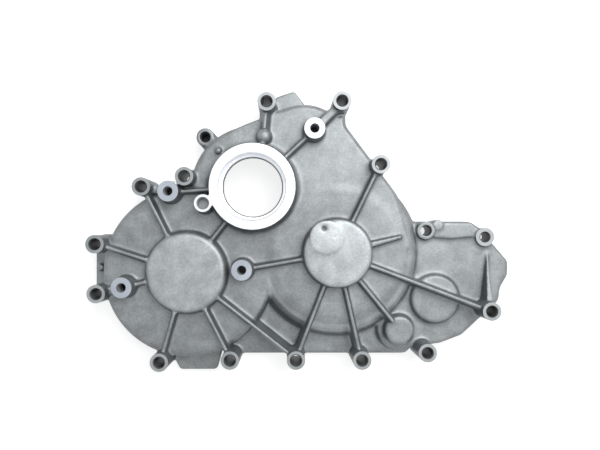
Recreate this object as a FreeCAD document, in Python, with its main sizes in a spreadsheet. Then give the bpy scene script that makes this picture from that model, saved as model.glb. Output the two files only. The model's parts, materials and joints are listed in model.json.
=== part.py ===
import FreeCAD, Part
import math
import os

import Sketcher

# Die cast outer cover of a two stage reduction gear case.  One aluminium casting, open at the
# back.  It lies on its mating face, which is z = 0, and its outside faces +Z.  The origin is the
# middle of the footprint on the mating face.

doc = FreeCAD.newDocument("gear_case_cover")
sheet = doc.addObject("Spreadsheet::Sheet", "dims")

# Driving dimensions, in millimetres and degrees.
DRIVING = [
    # levels above the mating face
    ("flange_top", 8.0),
    ("low_plate_top", 12.5),
    ("pump_plate_top", 17.0),
    ("left_plate_top", 26.0),
    ("upper_plate_top", 26.0),
    ("right_plate_top", 27.0),
    ("left_dome_top", 36.0),
    ("right_dome_top", 42.0),
    ("pump_dome_top", 22.0),
    ("small_dome_top", 27.0),
    ("ring_face", 44.0),
    ("tapped_boss_top", 43.0),
    ("bolt_boss_top", 40.0),
    ("low_boss_top", 21.0),
    ("ear_boss_top", 20.0),
    ("rib_top", 35.0),
    # walls, draft and rounding
    ("wall", 4.5),
    ("rim_width", 6.0),
    ("draft", 3.0),
    ("edge_round", 5.0),
    ("dome_round", 3.0),
    ("foot_round", 3.0),
    ("lug_round", 1.0),
    ("core_round", 3.0),
    ("sink", 0.4),
    # shafts
    ("left_shaft_x", -97.3),
    ("left_shaft_y", -36.0),
    ("right_shaft_x", 30.3),
    ("right_shaft_y", -19.6),
    ("seal_axis_x", -40.8),
    ("seal_axis_y", 35.8),
    # drums round the gears
    ("left_drum_radius", 73.8),
    ("right_drum_radius", 73.4),
    ("right_ledge_width", 5.9),
    ("right_shoulder_width", 10.5),
    ("right_shoulder_drop", 4.0),
    ("seal_drum_radius", 55.0),
    ("gear_mesh_radius", 18.0),
    ("flange_lip", 1.6),
    ("small_lobe_radius", 19.5),
    # domes over the shaft ends and their bearings
    ("left_dome_radius", 34.6),
    ("left_bearing_radius", 31.0),
    ("left_bearing_width", 16.0),
    ("right_dome_radius", 28.6),
    ("right_bearing_radius", 23.5),
    ("right_bearing_width", 14.0),
    ("right_bearing_entry", 5.0),
    ("bearing_wall", 5.5),
    # shaft seal ring
    ("ring_radius", 35.7),
    ("ring_draft", 6.0),
    ("ring_foot_round", 6.0),
    ("seal_radius", 27.75),
    ("seal_depth", 10.0),
    ("lip_radius", 24.6),
    ("lip_width", 4.0),
    ("axle_bearing_radius", 31.0),
    ("axle_bearing_width", 16.0),
    ("ring_ear_x", -81.4),
    ("ring_ear_y", 21.9),
    ("ring_ear_radius", 7.3),
    ("ring_ear_hole_radius", 4.5),
    ("ring_ear_hole_depth", 8.0),
    # oil pump region
    ("pump_x", 116.0),
    ("pump_y", -59.4),
    ("pump_dome_radius", 21.0),
    ("pump_bore_radius", 16.0),
    ("small_dome_x", 84.4),
    ("small_dome_y", -85.8),
    ("small_dome_radius", 12.6),
    ("small_bore_radius", 7.5),
    # fastening
    ("bolt_boss_radius", 7.75),
    ("bolt_hole_radius", 4.4),
    ("low_boss_radius", 7.9),
    ("low_hole_radius", 4.0),
    ("tapped_boss_radius", 8.65),
    ("tapped_core_radius", 3.4),
    ("tapped_depth", 18.0),
    ("bolt_1_x", -172.0),
    ("bolt_1_y", -12.0),
    ("bolt_2_x", -171.0),
    ("bolt_2_y", -53.5),
    ("bolt_3_x", -118.5),
    ("bolt_3_y", -110.5),
    ("bolt_4_x", -59.5),
    ("bottom_bolt_y", -108.7),
    ("bottom_bolt_pitch", 55.0),
    ("bolt_7_x", 105.0),
    ("bolt_7_y", -102.5),
    ("bolt_8_x", 158.5),
    ("bolt_8_y", -68.0),
    ("bolt_9_x", 66.2),
    ("bolt_9_y", 54.6),
    ("bolt_10_x", 34.0),
    ("bolt_10_y", 107.4),
    ("bolt_11_x", -29.0),
    ("bolt_11_y", 106.8),
    ("bolt_12_x", -97.6),
    ("bolt_12_y", 44.6),
    ("bolt_13_x", -133.5),
    ("bolt_13_y", 36.0),
    ("low_boss_1_x", 107.5),
    ("low_boss_1_y", -0.5),
    ("low_boss_2_x", 159.0),
    ("low_boss_2_y", -6.0),
    ("lug_reach", 12.7),
    ("lug_knob_radius", 3.2),
    ("lug_knob_top", 13.0),
    ("ear_reach", 5.8),
    ("ear_angle", 133.3),
    ("tapped_1_x", -110.5),
    ("tapped_1_y", 32.0),
    ("tapped_2_x", 11.0),
    ("tapped_2_y", 84.0),
    ("tapped_3_x", -49.5),
    ("tapped_3_y", -33.5),
    ("tapped_4_x", -149.0),
    ("tapped_4_y", -48.0),
    # ribs
    ("rib_width", 2.8),
    ("web_width", 6.5),
    ("rib_draft", 5.0),
    ("rib_depth", 28.0),
    ("web_drop", 5.0),
    ("free_rib_reach", 57.0),
    ("free_rib_angle", 14.0),
    ("free_rib_end_height", 2.5),
    ("buttress_x", 162.0),
    ("buttress_y", -18.5),
    # small cast details
    ("pad_x", 20.6),
    ("pad_y", -6.0),
    ("pad_radius", 14.0),
    ("pad_height", 0.8),
    ("dimple_x", 18.9),
    ("dimple_y", 1.1),
    ("dimple_radius", 2.8),
    ("dimple_depth", 1.2),
    ("ring_bump_x", -31.8),
    ("ring_bump_y", 79.0),
    ("ring_bump_radius", 6.5),
    ("ring_bump_top", 36.0),
    ("small_bump_x", -70.4),
    ("small_bump_y", 67.4),
    ("small_bump_radius", 2.8),
    ("small_bump_top", 31.0),
    ("band_rise", 2.5),
    ("band_knob_x", 118.6),
    ("band_knob_y", 4.4),
    ("band_knob_radius", 4.6),
    ("band_knob_rise", 1.6),
]

for row, (alias, value) in enumerate(DRIVING, start=1):
    cell = "A%d" % row
    sheet.set(cell, str(value))
    sheet.setAlias(cell, alias)
doc.recompute()


# Width of the flat that touches an arc, as a share of the arc's radius.
ARC_TO_FLAT = 2 - math.sqrt(2)


class Size:
    """A length or angle that knows its value and the sheet expression which gives it."""

    def __init__(self, value, text):
        self.value = float(value)
        self.text = text

    def __add__(self, other):
        other = as_size(other)
        return Size(self.value + other.value, "(%s + %s)" % (self.text, other.text))

    def __sub__(self, other):
        other = as_size(other)
        return Size(self.value - other.value, "(%s - %s)" % (self.text, other.text))

    def __mul__(self, other):
        other = as_size(other)
        return Size(self.value * other.value, "(%s * %s)" % (self.text, other.text))

    def __truediv__(self, other):
        other = as_size(other)
        return Size(self.value / other.value, "(%s / %s)" % (self.text, other.text))

    def __neg__(self):
        return Size(-self.value, "(0 - %s)" % self.text)


def as_size(number):
    if isinstance(number, Size):
        return number
    return Size(number, repr(float(number)))


def dim(alias):
    return Size(sheet.get(alias), "dims." + alias)


def tangent(angle):
    return Size(math.tan(math.radians(angle.value)), "tan(%s)" % angle.text)


def polar(place, reach, angle):
    """Point at a distance and a direction from a place."""
    turn = math.radians(angle.value)
    across = Size(math.cos(turn), "cos(%s)" % angle.text)
    along = Size(math.sin(turn), "sin(%s)" % angle.text)
    return (place[0] + reach * across, place[1] + reach * along)


def distance(start, end):
    across = end[0] - start[0]
    along = end[1] - start[1]
    text = "sqrt(%s ^ 2 + %s ^ 2)" % (across.text, along.text)
    return Size(math.hypot(across.value, along.value), text)


def bearing(start, end):
    across = end[0] - start[0]
    along = end[1] - start[1]
    angle = math.degrees(math.atan2(along.value, across.value))
    return Size(angle, "atan2(%s; %s)" % (along.text, across.text))


def bind(item, name, size):
    item.setExpression(name, as_size(size).text)


def origin_plane(body, role):
    for plane in body.Origin.OriginFeatures:
        if plane.Role == role:
            return plane
    raise ValueError("no plane " + role)


def corner_arc(before, here, after, radius):
    """Points where an arc of the given radius leaves the two sides, and the arc itself."""
    back = (before - here).normalize()
    ahead = (after - here).normalize()
    half_angle = back.getAngle(ahead) / 2
    reach = radius / math.tan(half_angle)
    centre = here + (back + ahead).normalize() * (radius / math.sin(half_angle))
    first = here + back * reach
    last = here + ahead * reach
    circle = Part.Circle(centre, FreeCAD.Vector(0, 0, 1), radius)
    turns_left = (here - before).cross(after - here).z > 0
    start, end = (first, last) if turns_left else (last, first)
    arc = Part.ArcOfCircle(circle, circle.parameter(start), circle.parameter(end))
    return first, last, arc, turns_left


def outline_sketch(body, role, corners):
    """Closed outline of straight sides with rounded corners, held by bound distances and radii."""
    sketch = body.newObject("Sketcher::SketchObject", body.Name + "_outline")
    sketch.AttachmentSupport = [(origin_plane(body, role), "")]
    sketch.MapMode = "FlatFace"
    count = len(corners)
    spots = [FreeCAD.Vector(corner[0].value, corner[1].value, 0) for corner in corners]
    bends = {}
    for index, corner in enumerate(corners):
        if corner[2] is not None:
            before = spots[index - 1]
            after = spots[(index + 1) % count]
            bends[index] = corner_arc(before, spots[index], after, corner[2].value)
    for index in range(count):
        after = (index + 1) % count
        start = bends[index][1] if index in bends else spots[index]
        end = bends[after][0] if after in bends else spots[after]
        sketch.addGeometry(Part.LineSegment(start, end), False)

    def hold(geometry, position, corner):
        for kind, size in (("DistanceX", corner[0]), ("DistanceY", corner[1])):
            constraint = Sketcher.Constraint(kind, -1, 1, geometry, position, size.value)
            number = sketch.addConstraint(constraint)
            sketch.setExpression("Constraints[%d]" % number, size.text)

    for index, corner in enumerate(corners):
        last_side = (index - 1) % count
        if index not in bends:
            sketch.addConstraint(Sketcher.Constraint("Coincident", last_side, 2, index, 1))
            hold(index, 1, corner)
            continue
        arc = sketch.addGeometry(bends[index][2], False)
        meeting = sketch.addGeometry(Part.Point(spots[index]), True)
        hold(meeting, 1, corner)
        sketch.addConstraint(Sketcher.Constraint("PointOnObject", meeting, 1, last_side))
        sketch.addConstraint(Sketcher.Constraint("PointOnObject", meeting, 1, index))
        near, far = (1, 2) if bends[index][3] else (2, 1)
        sketch.addConstraint(Sketcher.Constraint("Tangent", last_side, 2, arc, near))
        sketch.addConstraint(Sketcher.Constraint("Tangent", arc, far, index, 1))
        number = sketch.addConstraint(Sketcher.Constraint("Radius", arc, corner[2].value))
        sketch.setExpression("Constraints[%d]" % number, corner[2].text)
    return sketch


def new_body(name, place_x=None, place_y=None, place_z=None):
    body = doc.addObject("PartDesign::Body", name)
    for axis, size in (("x", place_x), ("y", place_y), ("z", place_z)):
        if size is not None:
            bind(body, "Placement.Base." + axis, size)
    return body


def round_edges(body, radius, chosen):
    """Soften the picked edges with the flat that touches the arc of the given radius."""
    doc.recompute()
    base = body.Tip
    names = []
    for index, edge in enumerate(base.Shape.Edges, start=1):
        if chosen(edge):
            names.append("Edge%d" % index)
    if not names:
        raise ValueError("no edge to round on " + body.Name)
    flat = body.newObject("PartDesign::Chamfer", body.Name + "_edge")
    flat.Base = (base, names)
    flat.Size = radius.value * ARC_TO_FLAT
    bind(flat, "Size", radius * ARC_TO_FLAT)
    body.Tip = flat
    return flat


def turned(name, axis, profile):
    """Solid of revolution.  The profile lists radius, level and rounding from the bottom up."""
    zero = as_size(0)
    body = new_body(name, axis[0], axis[1])
    corners = [(zero, profile[0][1], None)]
    corners += [(radius, level, None) for radius, level, rounding in profile]
    corners += [(zero, profile[-1][1], None)]
    sketch = outline_sketch(body, "XZ_Plane", corners)
    turn = body.newObject("PartDesign::Revolution", name + "_turn")
    turn.Profile = sketch
    turn.ReferenceAxis = (sketch, ["V_Axis"])
    turn.Angle = 360
    body.Tip = turn
    for radius, level, rounding in profile:
        if rounding is None:
            continue

        def at_corner(edge, radius=radius.value, level=level.value):
            if not isinstance(edge.Curve, Part.Circle):
                return False
            same_radius = abs(edge.Curve.Radius - radius) < 1e-4
            return same_radius and abs(edge.BoundBox.Center.z - level) < 1e-4

        round_edges(body, rounding, at_corner)
    return body


def plate(name, corners, bottom, top, draft=None, top_round=None):
    """Flat plate with rounded corners, drafted sides and a softened top edge."""
    body = new_body(name, place_z=bottom)
    sketch = outline_sketch(body, "XY_Plane", corners)
    pad = body.newObject("PartDesign::Pad", name + "_pad")
    pad.Profile = sketch
    bind(pad, "Length", top - bottom)
    if draft is not None:
        bind(pad, "TaperAngle", -draft)
    body.Tip = pad
    if top_round is not None:
        height = (top - bottom).value

        def at_top(edge):
            return edge.BoundBox.ZMin > height - 1e-4

        round_edges(body, top_round, at_top)
    return body


def prism(name, start, end, level, section):
    """Straight bar of constant section from start to end.

    The section lists offset to the side, height above the level and corner rounding."""
    body = new_body(name, start[0], start[1], level)
    pad = body.newObject("PartDesign::Pad", name + "_pad")
    pad.Profile = outline_sketch(body, "YZ_Plane", section)
    bind(pad, "Length", distance(start, end))
    body.Tip = pad
    bind(body, "Placement.Rotation.Angle", bearing(start, end))
    return body


def wedge(name, start, end, base, low, high, thin, thick):
    """Upright tapered rib: low and thin at the start, high and thick at the end."""
    block = doc.addObject("Part::Wedge", name)
    bind(block, "Ymin", 0)
    bind(block, "Ymax", distance(start, end))
    bind(block, "Xmin", -thin / 2)
    bind(block, "Xmax", thin / 2)
    bind(block, "X2min", -thick / 2)
    bind(block, "X2max", thick / 2)
    bind(block, "Zmin", 0)
    bind(block, "Z2min", 0)
    bind(block, "Zmax", low - base)
    bind(block, "Z2max", high - base)
    bind(block, "Placement.Base.x", start[0])
    bind(block, "Placement.Base.y", start[1])
    bind(block, "Placement.Base.z", base)
    bind(block, "Placement.Rotation.Angle", bearing((ZERO, ZERO), (end[1] - start[1], start[0] - end[0])))
    return block


def cone(name, place, base_level, top_level, top_radius, draft):
    """Drafted round boss, narrower at the top."""
    boss = doc.addObject("Part::Cone", name)
    height = top_level - base_level
    bind(boss, "Radius1", top_radius + height * tangent(draft))
    bind(boss, "Radius2", top_radius)
    bind(boss, "Height", height)
    bind(boss, "Placement.Base.x", place[0])
    bind(boss, "Placement.Base.y", place[1])
    bind(boss, "Placement.Base.z", base_level)
    return boss


def cylinder(name, place, base_level, top_level, radius):
    """Straight round boss or cut."""
    tool = doc.addObject("Part::Cylinder", name)
    bind(tool, "Radius", radius)
    bind(tool, "Height", top_level - base_level)
    bind(tool, "Placement.Base.x", place[0])
    bind(tool, "Placement.Base.y", place[1])
    bind(tool, "Placement.Base.z", base_level)
    return tool


def fused(name, shapes):
    joined = doc.addObject("Part::MultiFuse", name)
    joined.Shapes = shapes
    joined.Refine = False
    return joined


def cut(name, base, tool):
    result = doc.addObject("Part::Cut", name)
    result.Base = base
    result.Tool = tool
    result.Refine = False
    return result


ZERO = as_size(0)
left_shaft = (dim("left_shaft_x"), dim("left_shaft_y"))
right_shaft = (dim("right_shaft_x"), dim("right_shaft_y"))
seal_axis = (dim("seal_axis_x"), dim("seal_axis_y"))
pump = (dim("pump_x"), dim("pump_y"))
small_dome = (dim("small_dome_x"), dim("small_dome_y"))
bolts = {}
for number in (1, 2, 3, 7, 8, 9, 10, 11, 12, 13):
    bolts[number] = (dim("bolt_%d_x" % number), dim("bolt_%d_y" % number))
for step in range(3):
    bolts[4 + step] = (dim("bolt_4_x") + dim("bottom_bolt_pitch") * step, dim("bottom_bolt_y"))
tapped = {number: (dim("tapped_%d_x" % number), dim("tapped_%d_y" % number)) for number in (1, 2, 3, 4)}
low_bosses = {number: (dim("low_boss_%d_x" % number), dim("low_boss_%d_y" % number)) for number in (1, 2)}
ear = polar(seal_axis, dim("seal_drum_radius") + dim("ear_reach"), dim("ear_angle"))
right_shoulder_radius = dim("right_drum_radius") - dim("right_ledge_width")
right_flat_radius = right_shoulder_radius - dim("right_shoulder_width")

outside = []
ribs = []
cavity = []
inside = []
holes = []

# Gear drums: a drafted wall with a rounded top edge.
flange_top = dim("flange_top")
wall = dim("wall")
draft = dim("draft")


def drum(name, axis, radius, top):
    narrow = radius - top * tangent(draft)
    outside.append(turned(name, axis, [(radius, ZERO, None), (narrow, top, dim("edge_round"))]))
    rim = radius - dim("rim_width")
    roof = top - wall
    inner = rim - roof * tangent(draft)
    cavity.append(turned(name + "_cavity", axis, [(rim, ZERO, None), (inner, roof, dim("core_round"))]))


drum("left_drum", left_shaft, dim("left_drum_radius"), dim("left_plate_top"))
drum("seal_drum", seal_axis, dim("seal_drum_radius"), dim("upper_plate_top"))
shoulder_level = dim("right_plate_top") - dim("right_shoulder_drop")
outside.append(turned("right_drum", right_shaft, [
    (dim("right_drum_radius"), ZERO, None),
    (dim("right_drum_radius"), dim("low_plate_top"), None),
    (right_shoulder_radius, shoulder_level, dim("edge_round")),
    (right_flat_radius, dim("right_plate_top"), dim("edge_round")),
]))
right_rim = dim("right_drum_radius") - dim("rim_width")
cavity.append(turned("right_drum_cavity", right_shaft, [
    (right_rim, ZERO, None),
    (right_rim - (shoulder_level - wall) * tangent(draft) - wall, shoulder_level - wall, None),
    (right_flat_radius - wall, dim("right_plate_top") - wall, None),
]))

# The two lower gears mesh between their shafts, so the drums are open to each other there.
mesh_point = ((left_shaft[0] + right_shaft[0]) / 2, (left_shaft[1] + right_shaft[1]) / 2)
mesh_roof = dim("left_plate_top") - wall
cavity.append(cylinder("gear_mesh_gap", mesh_point, ZERO, mesh_roof, dim("gear_mesh_radius")))

# Flange discs under the drums.
lip = dim("flange_lip")
boss_radius = dim("bolt_boss_radius")
outside.append(cylinder("left_flange", left_shaft, ZERO, flange_top, dim("left_drum_radius") + lip))
outside.append(cylinder("seal_flange", seal_axis, ZERO, flange_top, dim("seal_drum_radius") + lip))

# Tall bolt bosses run down to the mating face.
for number, place in bolts.items():
    inside.append(cylinder("bolt_boss_%d" % number, place, ZERO, dim("bolt_boss_top"), boss_radius))
    hole_top = dim("bolt_boss_top") + wall
    holes.append(cylinder("bolt_hole_%d" % number, place, -wall, hole_top, dim("bolt_hole_radius")))


def corner(place, across, along, rounding=None):
    """Outline corner at an offset from a named place, with the radius that rounds it."""
    return (place[0] + across, place[1] + along, rounding)


upper_crown = (
    (bolts[10][0] + bolts[11][0]) / 2 + boss_radius * 0.5,
    (bolts[10][1] + bolts[11][1]) / 2 + boss_radius * 0.6,
)

# Upper plate between the seal drum, the two top bolts and the right drum.
big_corner = dim("edge_round") + dim("foot_round")
seal_drum = dim("seal_drum_radius")
upper_top = dim("upper_plate_top")
outside.append(plate("upper_plate", [
    corner(seal_axis, -seal_drum / 2, ZERO),
    corner(seal_axis, -seal_drum * 0.44, seal_drum * 0.84, big_corner),
    corner(bolts[11], -boss_radius * 2.4, -boss_radius * 2.3, big_corner),
    corner(bolts[11], -boss_radius, -boss_radius * 1.5),
    corner(bolts[11], -boss_radius, -boss_radius * 0.4),
    corner(bolts[11], boss_radius, -boss_radius * 0.4, boss_radius),
    corner(upper_crown, ZERO, ZERO, boss_radius * 5),
    corner(bolts[10], -boss_radius * 0.6, -boss_radius * 0.9, boss_radius),
    corner(bolts[10], boss_radius * 0.7, -boss_radius * 0.9),
    corner(bolts[10], boss_radius * 0.7, -boss_radius * 2.2, big_corner),
    corner(right_shaft, right_flat_radius * 0.95, right_flat_radius * 0.87, right_flat_radius / 2),
    corner(right_shaft, right_flat_radius * 1.21, ZERO),
    corner(right_shaft, right_flat_radius / 2, ZERO),
], ZERO, upper_top, draft, dim("edge_round")))
cavity.append(plate("upper_plate_cavity", [
    corner(seal_axis, -seal_drum / 2, ZERO),
    corner(seal_axis, -seal_drum * 0.3, seal_drum * 0.7, wall),
    corner(bolts[11], ZERO, -boss_radius * 2, wall),
    corner(bolts[11], boss_radius, -boss_radius, wall),
    corner(bolts[10], -boss_radius, -boss_radius, wall),
    corner(bolts[10], -boss_radius / 2, -boss_radius * 2, wall),
    corner(right_shaft, right_flat_radius * 0.75, right_flat_radius * 0.75),
    corner(right_shaft, right_flat_radius / 2, ZERO),
], ZERO, upper_top - wall, draft, dim("core_round")))

# Low plate that joins the drums along the straight bottom edge.
low_top = dim("low_plate_top")
outside.append(plate("low_plate", [
    corner(left_shaft, dim("left_drum_radius") * 0.3, -dim("left_drum_radius") * 0.2),
    corner(bolts[4], -boss_radius * 1.5, ZERO, big_corner),
    corner(bolts[6], boss_radius * 6, ZERO, big_corner),
    corner(bolts[7], -boss_radius, boss_radius * 6.5),
], ZERO, low_top, draft, dim("dome_round")))

# Oil pump region on the right, with a lobe round the small dome.
pump_top = dim("pump_plate_top")
outside.append(plate("pump_plate", [
    corner(low_bosses[1], -boss_radius * 3.5, boss_radius * 1.1),
    corner(low_bosses[2], -boss_radius * 1.4, boss_radius * 1.8, big_corner),
    corner(low_bosses[2], -boss_radius * 0.4, boss_radius * 1.15),
    corner(low_bosses[2], boss_radius * 2.9, -boss_radius * 2.7, big_corner),
    corner(low_bosses[2], boss_radius * 2.85, -boss_radius * 4.3, big_corner),
    corner(bolts[8], boss_radius * 2.1, boss_radius * 2.3, big_corner),
    corner(bolts[8], boss_radius * 1.9, boss_radius * 0.8, big_corner),
    corner(bolts[8], -boss_radius * 2.3, -boss_radius * 3.1, big_corner),
    corner(bolts[7], boss_radius * 2.1, boss_radius * 0.4, big_corner),
    corner(small_dome, ZERO, -dim("small_lobe_radius") * 0.9),
    corner(small_dome, -dim("small_lobe_radius") * 0.8, ZERO),
], ZERO, pump_top, draft, dim("dome_round")))
outside.append(turned("small_lobe", small_dome, [
    (dim("small_lobe_radius"), ZERO, None),
    (dim("small_lobe_radius") - pump_top * tangent(draft), pump_top, dim("dome_round")),
]))
cavity.append(plate("pump_cavity", [
    corner(right_shaft, right_flat_radius, boss_radius),
    corner(low_bosses[1], boss_radius * 1.5, -boss_radius * 0.2, wall),
    corner(low_bosses[2], -boss_radius * 1.5, -boss_radius * 0.2, wall),
    corner(low_bosses[2], boss_radius * 1.5, -boss_radius * 2.8, wall),
    corner(bolts[8], boss_radius, boss_radius * 1.8, wall),
    corner(bolts[8], -boss_radius * 1.6, -boss_radius, wall),
    corner(bolts[8], -boss_radius * 3.2, -boss_radius * 2.2, wall),
    corner(bolts[7], boss_radius * 1.4, boss_radius * 1.6, wall),
    corner(small_dome, ZERO, -boss_radius, wall),
    corner(small_dome, -boss_radius * 1.6, boss_radius, wall),
    corner(right_shaft, right_flat_radius * 0.8, -boss_radius * 4),
], ZERO, pump_top - wall, draft, dim("core_round")))

# Cast lugs that stand out of the flange.
lug_reach = dim("lug_reach")
outside.append(plate("left_lug", [
    corner(bolts[1], boss_radius * 2, boss_radius + lip / 2),
    corner(bolts[1], -boss_radius - lip, boss_radius + lip / 2, big_corner),
    (bolts[1][0] - boss_radius - lip, bolts[2][1] - boss_radius - lip / 2, big_corner),
    corner(bolts[2], boss_radius * 2, -boss_radius - lip / 2),
], ZERO, flange_top, None, dim("lug_round")))
outside.append(plate("bottom_lug", [
    corner(bolts[3], boss_radius * 0.9, boss_radius * 2),
    corner(bolts[3], boss_radius * 0.9, -boss_radius * 0.5),
    corner(bolts[3], boss_radius * 1.5, -lug_reach, dim("foot_round")),
    corner(bolts[4], -boss_radius * 1.9, -lug_reach - bolts[4][1] + bolts[3][1], dim("foot_round")),
    corner(bolts[4], -boss_radius * 1.4, ZERO),
    corner(bolts[4], -boss_radius * 1.4, boss_radius * 2),
], ZERO, flange_top, None, dim("lug_round")))
outside.append(plate("top_lug", [
    corner(bolts[11], ZERO, -boss_radius),
    corner(bolts[11], boss_radius * 0.9, lug_reach * 0.88, dim("foot_round")),
    corner(bolts[11], boss_radius * 3, lug_reach * 1.3, dim("foot_round")),
    corner(bolts[11], boss_radius * 4.15, lug_reach * 0.4),
    corner(bolts[11], boss_radius * 4.15, -boss_radius),
], ZERO, flange_top, None, dim("lug_round")))

def part_way(start, end, reach):
    """Point on the line from start to end, at the given distance from start."""
    share = reach / distance(start, end)
    return (start[0] + (end[0] - start[0]) * share, start[1] + (end[1] - start[1]) * share)


# Domes over the shaft ends.
sink = dim("sink")


def dome(name, axis, radius, ground, top, cap_round):
    foot = radius + (top - ground) * tangent(draft)
    skirt = foot + dim("foot_round") + sink
    outside.append(turned(name, axis, [
        (skirt, ground - wall + sink, None),
        (skirt, ground - sink, None),
        (foot, ground - sink, dim("foot_round")),
        (radius, top, cap_round),
    ]))


left_plate = dim("left_plate_top")
right_plate = dim("right_plate_top")
cap_round = dim("dome_round")
dome("left_dome", left_shaft, dim("left_dome_radius"), left_plate, dim("left_dome_top"), cap_round)
dome("right_dome", right_shaft, dim("right_dome_radius"), right_plate, dim("right_dome_top"), cap_round)
dome("pump_dome", pump, dim("pump_dome_radius"), pump_top, dim("pump_dome_top"), cap_round)
dome("small_dome", small_dome, dim("small_dome_radius"), pump_top, dim("small_dome_top"), cap_round)

# Raised pad with a dimple on the right dome.
right_top = dim("right_dome_top")
pad = (dim("pad_x"), dim("pad_y"))
dimple = (dim("dimple_x"), dim("dimple_y"))
pad_top = right_top + dim("pad_height")
dimple_floor = pad_top - dim("dimple_depth")
outside.append(cylinder("right_dome_pad", pad, right_top - cap_round, pad_top, dim("pad_radius")))
holes.append(cylinder("right_dome_dimple", dimple, dimple_floor, right_top + wall, dim("dimple_radius")))

# Shaft seal ring with its machined face and the ear beside it.
ring_drop = dim("ring_face") - dim("upper_plate_top")
ring_foot = dim("ring_radius") + ring_drop * tangent(dim("ring_draft"))
ring_skirt = ring_foot + dim("ring_foot_round") + sink
outside.append(turned("seal_ring", seal_axis, [
    (ring_skirt, dim("upper_plate_top") - wall + sink, None),
    (ring_skirt, dim("upper_plate_top") - sink, None),
    (ring_foot, dim("upper_plate_top") - sink, dim("ring_foot_round")),
    (dim("ring_radius"), dim("ring_face"), None),
]))
ring_ear = (dim("ring_ear_x"), dim("ring_ear_y"))
outside.append(cone("ring_ear", ring_ear, flange_top, dim("ring_face"), dim("ring_ear_radius"), draft))

# Tapped bosses with machined faces, low bosses and the outer ear.
tapped_top = dim("tapped_boss_top")
tapped_bottom = tapped_top - dim("tapped_depth")
tapped_radius = dim("tapped_boss_radius")
core_radius = dim("tapped_core_radius")
for number, place in tapped.items():
    outside.append(cone("tapped_boss_%d" % number, place, flange_top, tapped_top, tapped_radius, draft))
    holes.append(cylinder("tapped_hole_%d" % number, place, tapped_bottom, tapped_top + wall, core_radius))
low_boss_top = dim("low_boss_top")
low_hole_radius = dim("low_hole_radius")
for number, place in low_bosses.items():
    inside.append(cylinder("low_boss_%d" % number, place, ZERO, low_boss_top, dim("low_boss_radius")))
    holes.append(cylinder("low_hole_%d" % number, place, -wall, low_boss_top + wall, low_hole_radius))
inside.append(cylinder("ear_boss", ear, ZERO, dim("ear_boss_top"), dim("low_boss_radius")))

neck_top = dim("ear_boss_top") - dim("lug_round")
neck_end = part_way(ear, seal_axis, dim("ear_reach") + dim("rim_width"))
inside.append(prism("ear_neck", ear, neck_end, neck_top, [
    (-dim("low_boss_radius"), -neck_top, None),
    (dim("low_boss_radius"), -neck_top, None),
    (dim("low_boss_radius"), ZERO, None),
    (-dim("low_boss_radius"), ZERO, None),
]))

# Small round lumps of the casting.
ring_bump = (dim("ring_bump_x"), dim("ring_bump_y"))
small_bump = (dim("small_bump_x"), dim("small_bump_y"))
outside.append(cylinder("ring_bump", ring_bump, flange_top, dim("ring_bump_top"), dim("ring_bump_radius")))
small_bump_top = dim("small_bump_top")
outside.append(cylinder("small_bump", small_bump, flange_top, small_bump_top, dim("small_bump_radius")))
band_knob = (dim("band_knob_x"), dim("band_knob_y"))
knob_top = pump_top + dim("band_rise") + dim("band_knob_rise")
inside.append(cylinder("band_knob", band_knob, ZERO, knob_top, dim("band_knob_radius")))
lug_knob = ((bolts[1][0] + bolts[2][0]) / 2 - dim("lug_knob_radius") * 1.6, (bolts[1][1] + bolts[2][1]) / 2)
outside.append(cylinder("lug_knob", lug_knob, ZERO, dim("lug_knob_top"), dim("lug_knob_radius")))

# Raised band along the top edge of the pump region.
outside.append(plate("pump_band", [
    corner(low_bosses[1], ZERO, -boss_radius * 0.7),
    corner(low_bosses[1], boss_radius * 2.8, -boss_radius * 0.95),
    corner(low_bosses[1], boss_radius * 4.5, -boss_radius * 0.8),
    corner(low_bosses[2], ZERO, boss_radius * 0.1),
    corner(low_bosses[2], -boss_radius * 0.6, boss_radius),
    corner(low_bosses[2], -boss_radius * 1.5, boss_radius * 1.65),
    corner(low_bosses[1], ZERO, boss_radius * 0.95),
], pump_top - wall / 2, pump_top + dim("band_rise"), draft, dim("lug_round")))

# Ribs: level ridges with drafted sides that run from shaft to bolt.
half_rib = dim("rib_width") / 2


def rib(name, start, end, top, half=half_rib):
    depth = dim("rib_depth")
    low = half + depth * tangent(dim("rib_draft"))
    ribs.append(prism(name, start, end, top, [
        (-low, -depth, None),
        (low, -depth, None),
        (half, ZERO, None),
        (-half, ZERO, None),
    ]))


rib_top = dim("rib_top")


for number in (1, 3, 4, 5, 13):
    rib("left_rib_%d" % number, left_shaft, bolts[number], rib_top)
rib("left_rib_boss", left_shaft, tapped[4], rib_top)
rib("left_rib_ring", left_shaft, seal_axis, rib_top)
rib("middle_rib", right_shaft, tapped[3], rib_top)
for number in (5, 6, 8, 9):
    rib("right_rib_%d" % number, right_shaft, bolts[number], rib_top)
dome_reach = distance(right_shaft, small_dome) - dim("small_dome_radius") * 0.8
rib("right_rib_dome", right_shaft, part_way(right_shaft, small_dome, dome_reach), rib_top)
rib("top_rib_11", ring_bump, bolts[11], rib_top)
rib("top_rib_boss", seal_axis, tapped[2], rib_top)
half_web = dim("web_width") / 2
rib("top_rib_10", tapped[2], bolts[10], rib_top, half_web)
rib("ring_rib", seal_axis, tapped[1], rib_top)

# Short webs that tie neighbouring bosses together.
web_top = rib_top - dim("web_drop")
rib("web_13", bolts[13], tapped[1], web_top, half_web)
rib("web_12", bolts[12], tapped[1], web_top, half_web)
rib("web_2", bolts[2], tapped[4], web_top, half_web)
rib("web_11", ring_bump, bolts[11], web_top, half_web)

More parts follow.
